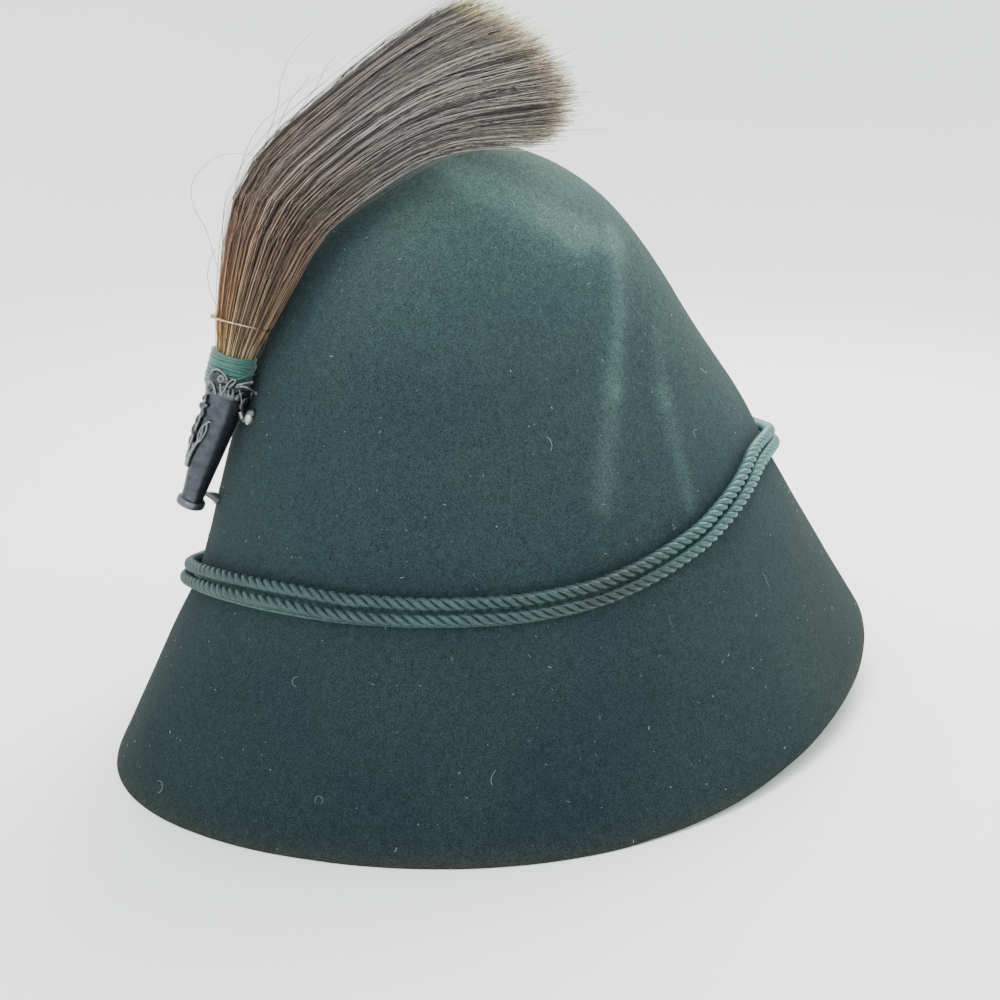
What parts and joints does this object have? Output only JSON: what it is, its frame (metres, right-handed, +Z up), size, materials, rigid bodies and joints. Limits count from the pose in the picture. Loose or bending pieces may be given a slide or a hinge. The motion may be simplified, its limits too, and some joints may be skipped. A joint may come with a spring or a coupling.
{
  "type": "tyrolean hat",
  "caption": "Soft felt hat with a tapered round crown, a turned-down brim, twisted cords round the head and a hair plume in a cast socket.",
  "frame": {"origin": "middle of the foot of the bounding box, on the surface that the hat rests on", "axes": "+X to the front of the hat, +Y to the wearer's left, +Z up"},
  "size_m": [0.3102, 0.2338, 0.2578],
  "materials": {
    "felt": "dark green brushed felt with a short nap and pale lint",
    "cord": "twisted dark green cord with a soft sheen",
    "braid": "thin green braid under the cords",
    "hair": "natural hair, golden brown at the foot, grey brown above, with pale tips",
    "thread": "wound green thread",
    "copper_wire": "plain pinkish copper wire, satin",
    "pewter": "cast pewter, darkened, satin, with lighter worn edges"
  },
  "bodies": {
    "root": {"felt_body": "felt", "cord_upper": "cord", "cord_lower": "cord", "cord_backing": "braid", "hair_plume": "hair", "thread_binding": "thread", "keeper_ring": "copper_wire", "plume_socket": "pewter"}
  },
  "joints": []
}
